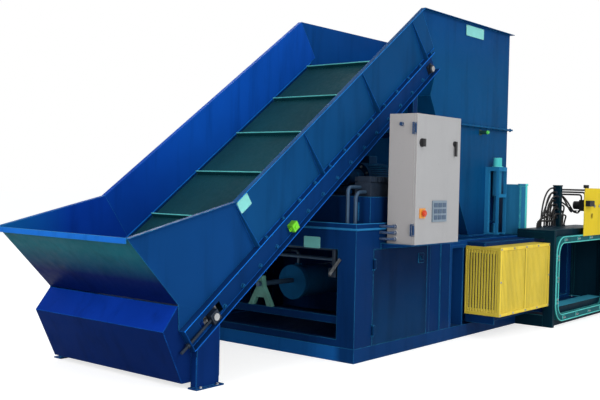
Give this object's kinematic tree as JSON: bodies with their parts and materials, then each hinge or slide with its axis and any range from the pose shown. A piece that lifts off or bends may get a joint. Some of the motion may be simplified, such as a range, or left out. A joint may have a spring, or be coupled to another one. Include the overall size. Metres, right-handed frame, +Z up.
{
  "type": "recycling baler",
  "caption": "Two-ram baler for recyclables with a cleated infeed conveyor, hopper, control cabinet, sliding bale door and wire-tie track round the bale exit.",
  "frame": {"origin": "centre of the footprint's bounding box, on the floor", "axes": "+X along the main ram and up the conveyor towards the bale chamber, +Y from the control and bale-exit side to the ejector cylinder, +Z up"},
  "size_m": [7.3562, 5.1452, 3.4802],
  "materials": {
    "navy_paint": "semi-gloss enamel",
    "blue_paint": "semi-gloss enamel",
    "teal_paint": "semi-gloss enamel",
    "yellow_paint": "semi-gloss enamel",
    "ring_paint": "semi-gloss enamel",
    "exit_paint": "semi-gloss enamel",
    "cabinet_paint": "textured powder coat",
    "belt_rubber": "matt",
    "cleat_steel": "worn enamel",
    "bright_steel": "machined",
    "hard_chrome": "ground and plated",
    "dark_iron": "painted casting",
    "green_iron": "painted casting",
    "motor_grey": "enamel",
    "black_plastic": "moulded",
    "grey_plastic": "moulded",
    "signal_yellow": "moulded",
    "signal_red": "moulded",
    "signal_green": "moulded"
  },
  "bodies": {
    "frame": {"skid_base": "navy_paint", "bay_frame": "navy_paint", "charge_box": "navy_paint", "bale_chamber": "navy_paint", "main_cylinder": "teal_paint", "ejector_cylinder": "teal_paint", "door_tracks": "navy_paint", "door_cylinder": "teal_paint", "guard_frame": "yellow_paint", "guard_mesh": "yellow_paint", "tier_frame": "exit_paint", "wire_track": "ring_paint", "tie_plates": "yellow_paint", "tie_drive": "dark_iron", "tier_pipes": "dark_iron", "valve_box": "teal_paint", "gate_tower": "navy_paint", "gate_cylinder": "teal_paint", "conveyor_frame": "navy_paint", "conveyor_belt": "belt_rubber", "belt_cleats": "cleat_steel", "skirt_near": "teal_paint", "skirt_far": "blue_paint", "receiving_hopper": "blue_paint", "tail_box": "navy_paint", "conveyor_legs": "navy_paint", "conveyor_support": "navy_paint", "shaft_bearings": "dark_iron", "gearmotor": "motor_grey", "hopper_upper": "teal_paint", "hopper_lower": "teal_paint", "seam_bolts": "bright_steel", "cabinet_box": "cabinet_paint", "oil_tank": "navy_paint", "pump_motors": "motor_grey", "valve_block": "dark_iron", "shutoff_valve": "bright_steel", "pipe_bracket": "green_iron", "hydraulic_pipes": "dark_iron", "photo_eye": "signal_green", "pull_switch": "signal_green"},
    "main_ram_body": {"main_ram": "navy_paint", "main_rod": "hard_chrome"},
    "ejector_body": {"ejector_platen": "navy_paint", "ejector_rod": "hard_chrome"},
    "bale_door_body": {"bale_door": "navy_paint", "door_rod": "hard_chrome"},
    "gate_body": {"inspection_gate": "navy_paint"},
    "head_drum_body": {"head_drum": "bright_steel"},
    "tail_drum_body": {"tail_drum": "bright_steel"},
    "cabinet_door_body": {"cabinet_door": "cabinet_paint", "keypad": "grey_plastic", "stop_plate": "signal_yellow"},
    "door_handle_body": {"door_handle": "black_plastic"},
    "disconnect_body": {"disconnect_knob": "black_plastic"},
    "stop_button_body": {"stop_button": "signal_red"},
    "access_door_body": {"access_door": "navy_paint"},
    "valve_lever_body": {"valve_lever": "bright_steel"},
    "feed_wheel_body": {"feed_wheel": "bright_steel"},
    "pinch_wheel_body": {"pinch_wheel": "bright_steel"}
  },
  "joints": [
    {"name": "main_ram_slide", "type": "slide", "parent": "frame", "child": "main_ram_body", "axis": [1, 0, 0], "range_m": [0, 0.88]},
    {"name": "ejector_slide", "type": "slide", "parent": "frame", "child": "ejector_body", "axis": [0, -1, 0], "range_m": [0, 1.9]},
    {"name": "bale_door_slide", "type": "slide", "parent": "frame", "child": "bale_door_body", "axis": [1, 0, 0], "range_m": [0, 1.17]},
    {"name": "gate_slide", "type": "slide", "parent": "frame", "child": "gate_body", "axis": [0, 0, 1], "range_m": [0, 0.25]},
    {"name": "head_shaft", "type": "hinge", "parent": "frame", "child": "head_drum_body", "pos_m": [0.44809, -0.83735, 2.8572], "axis": [0, 1, 0], "continuous": true},
    {"name": "tail_shaft", "type": "hinge", "parent": "frame", "child": "tail_drum_body", "pos_m": [-2.79209, -0.83735, 0.546], "axis": [0, 1, 0], "continuous": true},
    {"name": "cabinet_door_hinge", "type": "hinge", "parent": "frame", "child": "cabinet_door_body", "pos_m": [-0.91291, -2.34835, 1.672], "axis": [0, 0, -1], "range_deg": [0, 120]},
    {"name": "door_handle_turn", "type": "hinge", "parent": "cabinet_door_body", "child": "door_handle_body", "pos_m": [-0.22191, -2.35935, 2.02], "axis": [0, -1, 0], "range_deg": [0, 90]},
    {"name": "disconnect_turn", "type": "hinge", "parent": "cabinet_door_body", "child": "disconnect_body", "pos_m": [-0.82191, -2.35935, 2.008], "axis": [0, -1, 0], "range_deg": [0, 90]},
    {"name": "stop_button_press", "type": "slide", "parent": "cabinet_door_body", "child": "stop_button_body", "axis": [0, 1, 0], "range_m": [0, 0.008], "stiffness_N_per_m": 400},
    {"name": "access_door_hinge", "type": "hinge", "parent": "frame", "child": "access_door_body", "pos_m": [-1.06691, -2.03835, 0.56], "axis": [0, 0, -1], "range_deg": [0, 110]},
    {"name": "valve_lever_turn", "type": "hinge", "parent": "frame", "child": "valve_lever_body", "pos_m": [-1.30691, -1.76135, 0.8], "axis": [1, 0, 0], "range_deg": [0, 90]},
    {"name": "feed_wheel_turn", "type": "hinge", "parent": "frame", "child": "feed_wheel_body", "pos_m": [3.18524, -2.51765, 1.39], "axis": [0, 1, 0], "continuous": true},
    {"name": "pinch_wheel_turn", "type": "hinge", "parent": "frame", "child": "pinch_wheel_body", "pos_m": [3.02094, -2.51765, 1.39], "axis": [0, 1, 0], "continuous": true}
  ],
  "couplings": [
    {"joint": "tail_shaft", "follows": "head_shaft", "ratio": 1},
    {"joint": "pinch_wheel_turn", "follows": "feed_wheel_turn", "ratio": -1}
  ]
}
